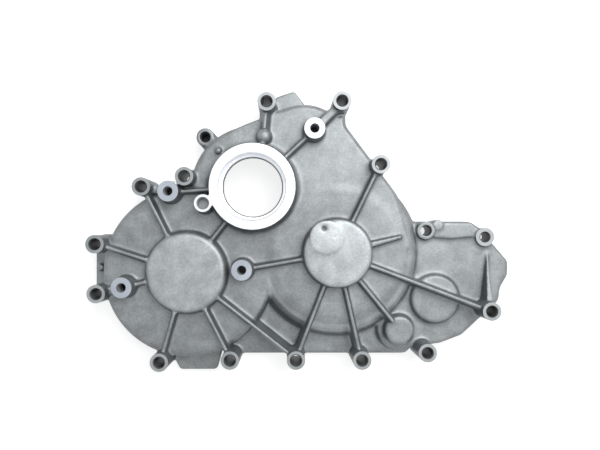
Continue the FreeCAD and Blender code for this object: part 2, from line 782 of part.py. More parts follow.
# Rib that runs out on the drum, and the buttress that climbs to the right end bolt.
free_end = polar(right_shaft, dim("free_rib_reach"), dim("free_rib_angle"))
free_low = right_plate + dim("free_rib_end_height")
free_high = rib_top + dim("web_drop")
web_width = dim("web_width")
ribs.append(wedge(
    "free_rib", free_end, right_shaft, right_plate - sink, free_low, free_high, dim("rib_width"), web_width
))
buttress_start = (dim("buttress_x"), dim("buttress_y"))
buttress_foot = pump_top - wall / 2
buttress_high = dim("bolt_boss_top") - dim("foot_round")
ribs.append(wedge(
    "buttress", buttress_start, bolts[8], buttress_foot, pump_top, buttress_high, half_rib, web_width
))

# Bearing seats inside, the seal bore and the blind holes.
bearing_wall = dim("bearing_wall")


def bearing_seat(name, axis, radius, floor, mouth):
    inside.append(cylinder(name + "_housing", axis, mouth, floor - bearing_wall, radius + bearing_wall))
    holes.append(cylinder(name + "_bore", axis, mouth, floor, radius))


left_floor = dim("left_dome_top") - wall
left_mouth = left_floor - dim("left_bearing_width")
bearing_seat("left_bearing", left_shaft, dim("left_bearing_radius"), left_floor, left_mouth)
right_floor = dim("right_dome_top") - wall
right_mouth = right_floor - dim("right_bearing_width") - dim("right_bearing_entry")
bearing_seat("right_bearing", right_shaft, dim("right_bearing_radius"), right_floor, right_mouth)
seal_floor = dim("ring_face") - dim("seal_depth")
axle_floor = seal_floor - dim("lip_width")
axle_mouth = axle_floor - dim("axle_bearing_width")
bearing_seat("axle_bearing", seal_axis, dim("axle_bearing_radius"), axle_floor, axle_mouth)
above_ring = dim("ring_face") + wall
holes.append(cylinder("seal_lip", seal_axis, ZERO, above_ring, dim("lip_radius")))
holes.append(cylinder("seal_seat", seal_axis, seal_floor, above_ring, dim("seal_radius")))
ear_floor = dim("ring_face") - dim("ring_ear_hole_depth")
holes.append(cylinder("ring_ear_hole", ring_ear, ear_floor, above_ring, dim("ring_ear_hole_radius")))
holes.append(cylinder("ear_hole", ear, wall, dim("ear_boss_top") + wall, dim("low_hole_radius")))
pump_roof = dim("pump_dome_top") - wall
cavity.append(cylinder("pump_pocket", pump, ZERO, pump_roof, dim("pump_bore_radius")))
small_roof = dim("small_dome_top") - wall
cavity.append(cylinder("small_pocket", small_dome, ZERO, small_roof, dim("small_bore_radius")))

doc.recompute()
block_form = fused("block_form", outside)
rib_form = fused("rib_form", ribs)
outer_form = fused("outer_form", [block_form, rib_form])
cavity_form = fused("cavity_form", cavity)
shell = cut("shell", outer_form, cavity_form)
solid_form = fused("solid_form", [shell] + inside)
hole_form = fused("hole_form", holes)
casting = cut("cover_casting", solid_form, hole_form)
casting.Label = "cover_casting"
doc.recompute()

for item in doc.Objects:
    for state in item.State:
        if state in ("Invalid", "Error"):
            raise RuntimeError("%s: %s" % (item.Name, state))
os.makedirs("parts", exist_ok=True)
shape = casting.Shape
if shape.isNull() or not shape.isValid():
    raise RuntimeError("the casting is not valid")
shape.exportStep("parts/%s.step" % casting.Label)
print(casting.Label, len(shape.Solids), "solids", len(shape.Faces), "faces", round(shape.Volume), "mm3")
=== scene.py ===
import json
import math

import bmesh
import bpy
import numpy as np
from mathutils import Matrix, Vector


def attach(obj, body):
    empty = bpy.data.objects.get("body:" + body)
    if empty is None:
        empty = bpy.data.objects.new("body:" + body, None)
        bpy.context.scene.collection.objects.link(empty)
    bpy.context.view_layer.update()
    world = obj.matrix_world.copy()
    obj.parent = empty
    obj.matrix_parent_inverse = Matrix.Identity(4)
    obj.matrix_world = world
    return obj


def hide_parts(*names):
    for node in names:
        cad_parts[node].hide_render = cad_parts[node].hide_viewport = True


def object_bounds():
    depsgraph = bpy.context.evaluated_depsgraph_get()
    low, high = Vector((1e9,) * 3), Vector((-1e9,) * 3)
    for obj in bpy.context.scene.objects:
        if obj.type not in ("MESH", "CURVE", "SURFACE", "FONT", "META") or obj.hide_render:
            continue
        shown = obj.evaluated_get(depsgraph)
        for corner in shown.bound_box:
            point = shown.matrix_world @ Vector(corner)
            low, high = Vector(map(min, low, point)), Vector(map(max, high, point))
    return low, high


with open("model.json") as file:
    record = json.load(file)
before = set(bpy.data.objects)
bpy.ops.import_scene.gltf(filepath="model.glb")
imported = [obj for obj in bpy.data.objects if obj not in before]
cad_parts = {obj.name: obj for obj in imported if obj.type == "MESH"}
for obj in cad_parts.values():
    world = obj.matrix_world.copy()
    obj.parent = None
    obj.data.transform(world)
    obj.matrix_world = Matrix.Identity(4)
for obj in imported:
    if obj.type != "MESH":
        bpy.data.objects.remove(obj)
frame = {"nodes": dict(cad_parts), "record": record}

# Looks of the die cast gear case cover.  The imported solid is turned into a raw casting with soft
# inside corners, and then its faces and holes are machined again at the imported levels.
# Lengths are in metres.  A colour is red, green, blue, and a TINT multiplies a colour.

MM = 0.001
NODE = "cover_casting"
cad_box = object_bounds()

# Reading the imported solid
MERGE_DISTANCE = 0.001 * MM
LEVEL_STEP = 0.05 * MM
LEVEL_DIGITS = 5
FLAT_FACING = 0.99
LEVEL_FACING = 0.999
SMALLEST_LOOP = 8
AROUND_RATIO = 1.0001
DOME_FACES = 6
SMALLEST_HOLE = 3 * MM
LARGEST_TAPPED = 3.6 * MM
LARGEST_HOLE = 12 * MM

# Casting: shares are of the way that smoothing moves the skin
ALLOWANCE = 3 * MM
VOXEL = 0.8 * MM
SMOOTHING_FACTOR = 0.5
SOFTENING_PASSES = 34
SETTLING_PASSES = 4
OUTWARD_SHARE = 1.0
INWARD_SHARE = 0.22
FACE_LIMIT = 185000
SHARP_ANGLE = math.radians(38)

# Machining
FACE_MARGIN = 1.4 * MM
BLOCK_MARGIN = 20 * MM
TOOL_REACH = 12 * MM
TOOL_SIDES = 96
HOLE_CHAMFER = 0.8 * MM

# Domes over the shaft ends
LEFT_RIM_RADIUS = 34.8 * MM
LEFT_RIM_ROUND = 5.0 * MM
RIGHT_RIM_RADIUS = 28.8 * MM
RIGHT_RIM_ROUND = 3.2 * MM
RIGHT_DISC_RADIUS = 24.4 * MM
RIGHT_DISC_STEP = 0.9 * MM
PAD_SPOT = (20.6 * MM, -6.0 * MM)
PAD_RADIUS = 14.0 * MM
DIMPLE_SPOT = (18.9 * MM, 1.1 * MM)
DIMPLE_RADIUS = 2.9 * MM
DIMPLE_DEPTH = 1.6 * MM

# Bumps with rounded tops: x, y, radius and level
BUMPS = [(-31.8 * MM, 79.0 * MM, 6.5 * MM, 36 * MM), (-70.4 * MM, 67.4 * MM, 2.8 * MM, 31 * MM)]
BUMP_ROUND_SHARE = 0.8

# Straight web from the wall of the seal drum to the first top bolt
SEAL_WEB = [
    (-62.0 * MM, 84.6 * MM), (-50.0 * MM, 86.8 * MM), (-38.0 * MM, 87.4 * MM),
    (-33.5 * MM, 93.5 * MM), (-36.0 * MM, 95.4 * MM), (-50.0 * MM, 90.0 * MM),
]
SEAL_WEB_TOP = 25.5 * MM
SEAL_WEB_DRAFT = 0.12

# Screw threads in the tapped holes: the half width is a share of the pitch
TAPPED_CHAMFER = 0.15 * MM
THREAD_DEPTH = 0.4 * MM
THREAD_PITCH = 1.25 * MM
THREAD_HALF_WIDTH = 0.45
THREAD_STEPS = 32

# Cast skin: noises are scale and detail, stops are ramp positions and colours
CLOUDS_NOISE = (14, 4)
PATCHES_NOISE = (90, 4)
GRAINS_NOISE = (600, 3)
SKIN_STOPS = [(0.3, (0.275, 0.29, 0.295)), (0.7, (0.35, 0.37, 0.375))]
BLOTCH_STOPS = [(0.35, (0.82, 0.82, 0.82)), (0.65, (1.08, 1.08, 1.08))]
SPECKLE_STOPS = [(0.3, (0.84, 0.85, 0.86)), (0.7, (1.1, 1.1, 1.1))]
# Steep walls: painted shade, darker where the face turns away from upward
STEEP_SHADE_STOPS = [(0.15, (0.52, 0.53, 0.55)), (0.85, (1.0, 1.0, 1.0))]
SKIN_METALLIC = 0.5
SKIN_ROUGHNESS = (0.38, 0.54)
GRAIN_STRENGTH = 0.35
GRAIN_HEIGHT = 0.15 * MM

# Parts of the cast skin with painted light, painted shade or a lighter pad, and how softly each
# tone ends
# Domes: painted light, their tops lighter as light falls on them
DOME_PAINTED_LIGHT = (1.5, 1.5, 1.5)
DOME_SOFTNESS = 1.5 * MM
# Right drum's shoulder: painted light, the sloping band lighter as light falls on it
SHOULDER_PAINTED_LIGHT = (1.3, 1.3, 1.3)
SHOULDER_INSIDE = 60.5 * MM
SHOULDER_INSIDE_SOFTNESS = 1.2 * MM
SHOULDER_OUTSIDE = 73.0 * MM
SHOULDER_OUTSIDE_SOFTNESS = 0.6 * MM
SHOULDER_START = (20 * MM, 22 * MM)
SHOULDER_END = (25.2 * MM, 25.8 * MM)
PAD_TINT = (1.2, 1.2, 1.2)
PAD_SOFTNESS = 0.4 * MM
PAD_DROP = 0.5 * MM
# Dimple: painted shade, much darker in the hollow
DIMPLE_PAINTED_SHADE = (0.3, 0.3, 0.31)
DIMPLE_SHARE = 0.8
DIMPLE_SOFTNESS = 0.6 * MM
DIMPLE_RISE = 1 * MM

# Machined faces: noises as above, and how far the roughness swings
MARKS_NOISE = (900, 2)
TONE_NOISE = (45, 3)
TONE_POSITIONS = (0.35, 0.65)
ROUGHNESS_SWING = 0.06

# Order of the materials on the casting
CAST_INDEX, BRIGHT_INDEX, SATIN_INDEX, BORE_SHADE_INDEX, TAPPED_REFLECTION_INDEX = range(5)

# Studio
KEY_PLACE = (0.32, 0.42, 0.85)
KEY_SIZE = 0.8
KEY_POWER = 8
WORLD_COLOUR = (0.90, 0.95, 1.0)
WORLD_STRENGTH = 0.22
FLOOR_HALF = 3.0
FLOOR_LEVEL = -0.2 * MM
FLOOR_COLOUR = (0.5, 0.5, 0.5)
FLOOR_ROUGHNESS = 0.9
FLOOR_GLOW = 0.8
WHITE = (1, 1, 1)

# Camera: lengths of the lens are in millimetres, shifts are shares of the picture's width
SENSOR_WIDTH = 36
FOCAL_LENGTH = 34.67
CAMERA_SHIFT = (1 / 60, 1 / 50)
CAMERA_PLACE = (-9.5 * MM, -6 * MM, 520 * MM)
NEAR_CLIP = 0.01


def new_object(name, data):
    made = bpy.data.objects.new(name, data)
    bpy.context.scene.collection.objects.link(made)
    return made


def apply_modifiers(source):
    graph = bpy.context.evaluated_depsgraph_get()
    mesh = bpy.data.meshes.new_from_object(source.evaluated_get(graph))
    source.modifiers.clear()
    source.data = mesh


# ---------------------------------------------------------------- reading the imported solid

def packed_mesh():
    """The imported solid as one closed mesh."""
    mesh = bmesh.new()
    mesh.from_mesh(frame["nodes"][NODE].data)
    bmesh.ops.remove_doubles(mesh, verts=mesh.verts, dist=MERGE_DISTANCE)
    mesh.normal_update()
    return mesh


def flat_groups(mesh, level, facing):
    """Groups of touching faces that lie flat at one level, in the order of the mesh's faces."""
    flat = []
    for face in mesh.faces:
        at_level = all(abs(vert.co.z - level) < LEVEL_STEP for vert in face.verts)
        if at_level and face.normal.z * facing > FLAT_FACING:
            flat.append(face)
    ungrouped = set(flat)
    groups = []
    for first in flat:
        if first not in ungrouped:
            continue
        ungrouped.remove(first)
        waiting = [first]
        group = []
        while waiting:
            face = waiting.pop()
            group.append(face)
            for edge in face.edges:
                for other in edge.link_faces:
                    if other in ungrouped:
                        ungrouped.remove(other)
                        waiting.append(other)
        groups.append(group)
    return groups


def rims(group):
    """Round borders of a flat group, each as its centre, its radius, whether the group lies around
    it, and whether the wall beside it leads down from the group."""
    inside = set(group)
    border = {}
    for face in group:
        for edge in face.edges:
            walls = [other for other in edge.link_faces if other not in inside]
            if walls:
                for vert in edge.verts:
                    border.setdefault(vert, []).append((edge.other_vert(vert), face, walls[0]))
    found = []
    while border:
        waiting = [next(iter(border))]
        loop = []
        while waiting:
            vert = waiting.pop()
            if vert in border:
                loop.append((vert, border[vert][0]))
                waiting += [link[0] for link in border.pop(vert)]
        points = np.array([vert.co[:] for vert, link in loop])
        centre = (points.min(axis=0) + points.max(axis=0)) / 2
        reach = np.hypot(points[:, 0] - centre[0], points[:, 1] - centre[1])
        if reach.max() - reach.min() > LEVEL_STEP or len(loop) < SMALLEST_LOOP:
            continue
        beside, wall = (face.calc_center_median() for face in loop[0][1][1:])
        away = math.hypot(beside.x - centre[0], beside.y - centre[1])
        around = away > reach.min() * AROUND_RATIO
        found.append((centre, reach.mean(), around, wall.z < centre[2]))
    return found


def hole_bottom(mesh, centre, radius):
    """Lowest level of the straight wall below a hole's rim."""
    bottom = centre[2]
    for vert in mesh.verts:
        across = math.hypot(vert.co.x - centre[0], vert.co.y - centre[1])
        if abs(across - radius) < LEVEL_STEP:
            bottom = min(bottom, vert.co.z)
    return bottom


def dome_level(mesh, axis):
    """Level of the flat top of the dome on an axis."""
    faces = [face for face in mesh.faces if face.normal.z > LEVEL_FACING]
    faces.sort(key=lambda face: math.dist(face.calc_center_median()[:2], axis))
    return max(face.calc_center_median().z for face in faces[:DOME_FACES])


def read_holes(mesh):
    """Bolt holes and tapped holes that open upwards, with the boss face round each."""
    holes = []
    facing_up = [face for face in mesh.faces if face.normal.z > LEVEL_FACING]
    levels = {round(face.calc_center_median().z, LEVEL_DIGITS) for face in facing_up}
    for level in sorted(levels):
        for group in flat_groups(mesh, level, 1):
            borders = rims(group)
            outers = [radius for centre, radius, around, falls in borders if not around]
            for centre, radius, around, falls in borders:
                if around and falls and SMALLEST_HOLE < radius < LARGEST_HOLE:
                    holes.append({
                        "x": centre[0], "y": centre[1], "level": level, "radius": radius,
                        "bottom": hole_bottom(mesh, centre, radius),
                        "boss": outers[0] if len(outers) == 1 else None,
                    })
    return holes


# ---------------------------------------------------------------- raw casting

def raw_casting(mesh, levels):
    """Closed mesh with machining allowance on the given levels, and with the seal web."""
    for level, facing in levels:
        for group in flat_groups(mesh, level, facing):
            made = bmesh.ops.extrude_face_region(mesh, geom=group)
            moved = [item for item in made["geom"] if isinstance(item, bmesh.types.BMVert)]
            bmesh.ops.translate(mesh, verts=moved, vec=Vector((0, 0, ALLOWANCE * facing)))
            bmesh.ops.delete(mesh, geom=group, context="FACES")
    add_prism(mesh, SEAL_WEB, -ALLOWANCE, SEAL_WEB_TOP, SEAL_WEB_DRAFT)
    data = bpy.data.meshes.new("raw_casting")
    data.from_pydata([vert.co for vert in mesh.verts], [], ordered_faces(mesh))
    return new_object("casting", data)


def ordered_faces(mesh):
    """Corners of all faces in a fixed order, because bmesh's own order differs from run to run."""
    mesh.verts.index_update()
    faces = []
    for face in mesh.faces:
        corners = [vert.index for vert in face.verts]
        first = corners.index(min(corners))
        faces.append(corners[first:] + corners[:first])
    return sorted(faces)


def add_prism(mesh, foot, low, high, draft):
    """Closed prism on an outline, its top drawn in towards the middle by a share."""
    middle = Vector((sum(x for x, y in foot), sum(y for x, y in foot))) / len(foot)
    lower = [mesh.verts.new((x, y, low)) for x, y in foot]
    upper = []
    for x, y in foot:
        inward = (middle - Vector((x, y))) * draft
        upper.append(mesh.verts.new((x + inward.x, y + inward.y, high)))
    mesh.faces.new(lower[::-1])
    mesh.faces.new(upper)
    for side in range(len(foot)):
        after = (side + 1) % len(foot)
        mesh.faces.new((lower[side], lower[after], upper[after], upper[side]))


def remeshed(casting):
    blocks = casting.modifiers.new("blocks", "REMESH")
    blocks.mode = "VOXEL"
    blocks.voxel_size = VOXEL
    blocks.adaptivity = 0
    apply_modifiers(casting)


def coordinates(mesh):
    found = np.empty(len(mesh.vertices) * 3)
    mesh.vertices.foreach_get("co", found)
    return found.reshape(-1, 3)


def dome_profile(reach, level, rim_radius, rim_round):
    """Highest level of a dome at each distance from its axis, with a rounded rim."""
    start = rim_radius - rim_round
    across = np.clip((reach - start) / rim_round, 0, 1)
    profile = level - rim_round + rim_round * np.sqrt(1 - across ** 2)
    return np.where(reach < rim_radius, profile, np.inf)


def shape_domes(casting):
    """Round the rims of both domes and the tops of the bumps, and give the right dome its raised
    disc and its dimple."""
    points = coordinates(casting.data)
    reach = np.hypot(points[:, 0] - left_axis[0], points[:, 1] - left_axis[1])
    limit = dome_profile(reach, left_level, LEFT_RIM_RADIUS, LEFT_RIM_ROUND)
    reach = np.hypot(points[:, 0] - right_axis[0], points[:, 1] - right_axis[1])
    step = np.clip((reach - RIGHT_DISC_RADIUS) / RIGHT_DISC_STEP, 0, 1) * RIGHT_DISC_STEP
    right = dome_profile(reach, right_level, RIGHT_RIM_RADIUS, RIGHT_RIM_ROUND) - step
    on_pad = np.hypot(points[:, 0] - PAD_SPOT[0], points[:, 1] - PAD_SPOT[1]) < PAD_RADIUS
    right[on_pad] = np.inf
    away = np.hypot(points[:, 0] - DIMPLE_SPOT[0], points[:, 1] - DIMPLE_SPOT[1]) / DIMPLE_RADIUS
    dimple = np.where(away < 1, right_level - DIMPLE_DEPTH * (1 - away ** 2), np.inf)
    limit = np.minimum(np.minimum(limit, right), dimple)
    for x, y, radius, level in BUMPS:
        reach = np.hypot(points[:, 0] - x, points[:, 1] - y)
        limit = np.minimum(limit, dome_profile(reach, level, radius, radius * BUMP_ROUND_SHARE))
    raised = (points[:, 2] > limit) & (points[:, 2] > left_level - 2 * LEFT_RIM_ROUND)
    points[raised, 2] = limit[raised]
    casting.data.vertices.foreach_set("co", points.ravel())


def smooth(casting, passes):
    even = casting.modifiers.new("even", "SMOOTH")
    even.factor = SMOOTHING_FACTOR
    even.iterations = passes
    apply_modifiers(casting)


def soften(casting):
    """Fill inside corners with soft radii and take only a little off the outside edges."""
    before = coordinates(casting.data)
    normals = np.empty(len(casting.data.vertices) * 3)
    casting.data.vertices.foreach_get("normal", normals)
    normals = normals.reshape(-1, 3)
    smooth(casting, SOFTENING_PASSES)
    moved = coordinates(casting.data) - before
    outward = (moved * normals).sum(axis=1)
    share = np.where(outward > 0, OUTWARD_SHARE, INWARD_SHARE)
    after = before + moved * share[:, None]
    casting.data.vertices.foreach_set("co", after.ravel())
    smooth(casting, SETTLING_PASSES)


def thinned(casting):
    casting.data.calc_loop_triangles()
    count = len(casting.data.loop_triangles)
    if count > FACE_LIMIT:
        fewer = casting.modifiers.new("fewer", "DECIMATE")
        fewer.ratio = FACE_LIMIT / count
        apply_modifiers(casting)


# ---------------------------------------------------------------- machining tools

def turned_tool(mesh, x, y, profile, material):
    """Closed solid of revolution round a vertical axis, from (radius, level) pairs bottom up."""
    rings = []
    for radius, level in profile:
        ring = []
        for side in range(TOOL_SIDES):
            angle = 2 * math.pi * side / TOOL_SIDES
            spot = (x + radius * math.cos(angle), y + radius * math.sin(angle), level)
            ring.append(mesh.verts.new(spot))
        rings.append(ring)
    for lower, upper in zip(rings, rings[1:]):
        for side in range(TOOL_SIDES):
            after = (side + 1) % TOOL_SIDES
            face = mesh.faces.new((lower[side], lower[after], upper[after], upper[side]))
            face.material_index = material
    mesh.faces.new(rings[0][::-1]).material_index = material
    mesh.faces.new(rings[-1]).material_index = material


def block_tool(mesh, low, high, material):
    made = bmesh.ops.create_cube(mesh, size=1)
    for vert in made["verts"]:
        for axis in range(3):
            vert.co[axis] = high[axis] if vert.co[axis] > 0 else low[axis]
    for face in {face for vert in made["verts"] for face in vert.link_faces}:
        face.material_index = material


def machine(casting, build, materials):
    """Cut the casting with a set of tools that don't touch each other."""
    mesh = bmesh.new()
    build(mesh)
    data = bpy.data.meshes.new("tools")
    mesh.to_mesh(data)
    mesh.free()
    for material in materials:
        data.materials.append(material)
    tools = new_object("tools", data)
    cut = casting.modifiers.new("cut", "BOOLEAN")
    cut.operation = "DIFFERENCE"
    cut.object = tools
    cut.solver = "MANIFOLD"
    cut.material_mode = "TRANSFER"
    apply_modifiers(casting)
    bpy.data.objects.remove(tools)


# ---------------------------------------------------------------- materials

def node_setup(name):
    material = bpy.data.materials.new(name)
    material.use_nodes = True
    tree = material.node_tree
    return material, tree, tree.nodes["Principled BSDF"]


def add_noise(tree, place, scale, detail):
    noise = tree.nodes.new("ShaderNodeTexNoise")
    noise.inputs["Scale"].default_value = scale
    noise.inputs["Detail"].default_value = detail
    tree.links.new(place, noise.inputs["Vector"])
    return noise.outputs["Fac"]


def ramp(tree, factor, stops):
    made = tree.nodes.new("ShaderNodeValToRGB")
    elements = made.color_ramp.elements
    while len(elements) < len(stops):
        elements.new(0.5)
    for element, (position, colour) in zip(elements, stops):
        element.position = position
        element.color = (*colour, 1)
    tree.links.new(factor, made.inputs["Fac"])
    return made.outputs["Color"]


def mix(tree, factor, first, second, blend="MIX"):
    made = tree.nodes.new("ShaderNodeMix")
    made.data_type = "RGBA"
    made.blend_type = blend
    factor_socket, first_socket, second_socket = made.inputs[0], made.inputs[6], made.inputs[7]
    for value, socket in (
        (factor, factor_socket), (first, first_socket), (second, second_socket)
    ):
        if isinstance(value, bpy.types.NodeSocket):
            tree.links.new(value, socket)
        elif isinstance(value, tuple):
            socket.default_value = (*value, 1)
        else:
            socket.default_value = value
    return made.outputs[2]


def tinted(tree, colour, tint):
    return mix(tree, 1.0, colour, tint, "MULTIPLY")


def tinted_where(tree, mask, colour, tint):
    """Tint a colour only where a mask is 1."""
    return mix(tree, mask, colour, tinted(tree, colour, tint))


def spread(tree, value, low, high, start=0.0, end=1.0):
    """Map a value from low..high to start..end."""
    made = tree.nodes.new("ShaderNodeMapRange")
    made.inputs["From Min"].default_value = low
    made.inputs["From Max"].default_value = high
    made.inputs["To Min"].default_value = start
    made.inputs["To Max"].default_value = end
    tree.links.new(value, made.inputs["Value"])
    return made.outputs["Result"]


def times(tree, first, second):
    made = tree.nodes.new("ShaderNodeMath")
    made.operation = "MULTIPLY"
    tree.links.new(first, made.inputs[0])
    tree.links.new(second, made.inputs[1])
    return made.outputs[0]


def round_mask(tree, place, centre, radius, softness):
    """1 within a radius of a vertical axis and 0 outside it."""
    flat = tree.nodes.new("ShaderNodeVectorMath")
    flat.operation = "MULTIPLY"
    flat.inputs[1].default_value = (1, 1, 0)
    tree.links.new(place, flat.inputs[0])
    away = tree.nodes.new("ShaderNodeVectorMath")
    away.operation = "DISTANCE"
    away.inputs[1].default_value = (centre[0], centre[1], 0)
    tree.links.new(flat.outputs[0], away.inputs[0])
    return spread(tree, away.outputs["Value"], radius - softness, radius + softness, 1, 0)


def cast_aluminium():
    """Die cast skin: matt grey and mottled, with painted light on the domes and the right drum's
    shoulder, lighter on the pad, and painted shade in the dimple and on steep walls."""
    material, tree, shader = node_setup("cast_aluminium")
    coordinate = tree.nodes.new("ShaderNodeTexCoord")
    place = coordinate.outputs["Object"]
    split = tree.nodes.new("ShaderNodeSeparateXYZ")
    tree.links.new(place, split.inputs[0])
    height = split.outputs["Z"]
    patches = add_noise(tree, place, *PATCHES_NOISE)
    grains = add_noise(tree, place, *GRAINS_NOISE)
    colour = ramp(tree, add_noise(tree, place, *CLOUDS_NOISE), SKIN_STOPS)
    colour = tinted(tree, colour, ramp(tree, patches, BLOTCH_STOPS))
    colour = tinted(tree, colour, ramp(tree, grains, SPECKLE_STOPS))
    for axis, level, radius in (
        (left_axis, left_level, LEFT_RIM_RADIUS - LEFT_RIM_ROUND / 2),
        (right_axis, right_level, RIGHT_RIM_RADIUS),
    ):
        # Painted light: the top of each dome is made lighter
        on_top = spread(tree, height, level - LEFT_RIM_ROUND, level - RIGHT_RIM_ROUND / 2)
        dome = times(tree, round_mask(tree, place, axis, radius, DOME_SOFTNESS), on_top)
        colour = tinted_where(tree, dome, colour, DOME_PAINTED_LIGHT)
    # Painted light on the sloping shoulder band round the right drum
    within = round_mask(tree, place, right_axis, SHOULDER_OUTSIDE, SHOULDER_OUTSIDE_SOFTNESS)
    drum = round_mask(tree, place, right_axis, SHOULDER_INSIDE, SHOULDER_INSIDE_SOFTNESS)
    beyond = spread(tree, drum, 0, 1, 1, 0)
    above = spread(tree, height, *SHOULDER_START)
    below = spread(tree, height, *SHOULDER_END, 1, 0)
    shoulder = times(tree, times(tree, within, beyond), times(tree, above, below))
    colour = tinted_where(tree, shoulder, colour, SHOULDER_PAINTED_LIGHT)
    near_top = spread(tree, height, right_level - PAD_DROP, right_level)
    pad = times(tree, round_mask(tree, place, PAD_SPOT, PAD_RADIUS, PAD_SOFTNESS), near_top)
    colour = tinted_where(tree, pad, colour, PAD_TINT)
    # Painted shade in the dimple
    dimple_radius = DIMPLE_RADIUS * DIMPLE_SHARE
    dimple = round_mask(tree, place, DIMPLE_SPOT, dimple_radius, DIMPLE_SOFTNESS)
    dimple = times(tree, dimple, spread(tree, height, left_level, left_level + DIMPLE_RISE))
    colour = tinted_where(tree, dimple, colour, DIMPLE_PAINTED_SHADE)
    # Painted shade on steep walls
    facing = tree.nodes.new("ShaderNodeSeparateXYZ")
    tree.links.new(coordinate.outputs["Normal"], facing.inputs[0])
    colour = tinted(tree, colour, ramp(tree, facing.outputs["Z"], STEEP_SHADE_STOPS))
    tree.links.new(colour, shader.inputs["Base Color"])
    shader.inputs["Metallic"].default_value = SKIN_METALLIC
    tree.links.new(spread(tree, patches, 0, 1, *SKIN_ROUGHNESS), shader.inputs["Roughness"])
    bump = tree.nodes.new("ShaderNodeBump")
    bump.inputs["Strength"].default_value = GRAIN_STRENGTH
    bump.inputs["Distance"].default_value = GRAIN_HEIGHT
    tree.links.new(grains, bump.inputs["Height"])
    tree.links.new(bump.outputs["Normal"], shader.inputs["Normal"])
    return material


def machined_aluminium(name, light, dark, roughness, metallic):
    """Turned or milled face, a little uneven in tone and roughness."""
    material, tree, shader = node_setup(name)
    place = tree.nodes.new("ShaderNodeTexCoord").outputs["Object"]
    patches = add_noise(tree, place, *TONE_NOISE)
    tone = ramp(tree, patches, list(zip(TONE_POSITIONS, (dark, light))))
    tree.links.new(tone, shader.inputs["Base Color"])
    shader.inputs["Metallic"].default_value = metallic
    marks = add_noise(tree, place, *MARKS_NOISE)
    low, high = roughness - ROUGHNESS_SWING, roughness + ROUGHNESS_SWING
    tree.links.new(spread(tree, marks, 0, 1, low, high), shader.inputs["Roughness"])
    return material


# ---------------------------------------------------------------- the casting

solid = packed_mesh()
top = cad_box[1][2]
holes = read_holes(solid)
machined = {round(level, LEVEL_DIGITS) for level in [top] + [hole["level"] for hole in holes]}
tapped = [
    hole for hole in holes if hole["bottom"] > LEVEL_STEP and hole["radius"] < LARGEST_TAPPED
]
mounts = {mount["name"]: mount for mount in frame["record"]["mounts"]}
left_axis = mounts["left_bearing_seat"]["pos_m"][:2]
right_axis = mounts["right_bearing_seat"]["pos_m"][:2]
left_level = dome_level(solid, left_axis)
right_level = dome_level(solid, right_axis)
seal = mounts["seal_seat"]
seal_x, seal_y = seal["pos_m"][0], seal["pos_m"][1]
seal_radius = seal["dims"]["r_mm"] * MM
seal_floor = top - seal["dims"]["length_mm"] * MM
seal_lip = min(
    math.hypot(vert.co.x - seal_x, vert.co.y - seal_y)
    for vert in solid.verts
    if abs(vert.co.z - seal_floor) < LEVEL_STEP
)

CAST = cast_aluminium()
BRIGHT = machined_aluminium("bright_face", (0.93, 0.94, 0.95), (0.84, 0.87, 0.92), 0.30, 0.85)
SATIN = machined_aluminium("boss_face", (0.42, 0.44, 0.45), (0.32, 0.34, 0.35), 0.45, 0.5)
# Walls of holes below boss faces: nearly black, painted shade inside the holes
BORE_SHADE = machined_aluminium("bored_wall_painted_shade", (0.12, 0.125, 0.13), (0.07, 0.075, 0.08), 0.45, 0.3)
# Tapped boss faces: darker bluish grey, a painted reflection of bluish surroundings
TAPPED_REFLECTION = machined_aluminium("tapped_face_painted_reflection", (0.48, 0.52, 0.58), (0.40, 0.44, 0.50), 0.32, 0.85)
MATERIALS = [CAST, BRIGHT, SATIN, BORE_SHADE, TAPPED_REFLECTION]

casting = raw_casting(solid, [(0.0, -1)] + [(level, 1) for level in sorted(machined)])
remeshed(casting)
shape_domes(casting)
soften(casting)
thinned(casting)
casting.data.materials.clear()
for material in MATERIALS:
    casting.data.materials.append(material)
casting.data.polygons.foreach_set("material_index", [CAST_INDEX] * len(casting.data.polygons))


def facing_cut(mesh, low, high, material):
    """Block that takes off everything between two levels, well past the casting's edges."""
    (left, front, _), (right, back, _) = cad_box
    near = (left - BLOCK_MARGIN, front - BLOCK_MARGIN, low)
    far = (right + BLOCK_MARGIN, back + BLOCK_MARGIN, high)
    block_tool(mesh, near, far, material)


def joint_face(mesh):
    facing_cut(mesh, -BLOCK_MARGIN, 0.0, SATIN_INDEX)


def boss_faces(mesh):
    for hole in holes:
        if hole["boss"]:
            reach = hole["boss"] + FACE_MARGIN
            # Tapped boss faces get the bluish grey painted reflection
            material = TAPPED_REFLECTION_INDEX if hole in tapped else SATIN_INDEX
            profile = [(reach, hole["level"]), (reach, top + TOOL_REACH)]
            turned_tool(mesh, hole["x"], hole["y"], profile, material)


def ring_face(mesh):
    facing_cut(mesh, top, top + TOOL_REACH, BRIGHT_INDEX)


def hole_walls(mesh):
    for hole in holes:
        through = hole["bottom"] < LEVEL_STEP
        bottom = -TOOL_REACH if through else hole["bottom"]
        radius = hole["radius"] + (THREAD_DEPTH if hole in tapped else 0)
        chamfer = TAPPED_CHAMFER if hole in tapped else HOLE_CHAMFER
        mouth = radius + chamfer
        on_top = abs(hole["level"] - top) < LEVEL_STEP
        # Walls of holes below a boss face get the painted shade
        turned_tool(mesh, hole["x"], hole["y"], [
            (radius, bottom),
            (radius, hole["level"] - chamfer),
            (mouth, hole["level"]),
            (mouth, top + TOOL_REACH),
        ], SATIN_INDEX if on_top else BORE_SHADE_INDEX)


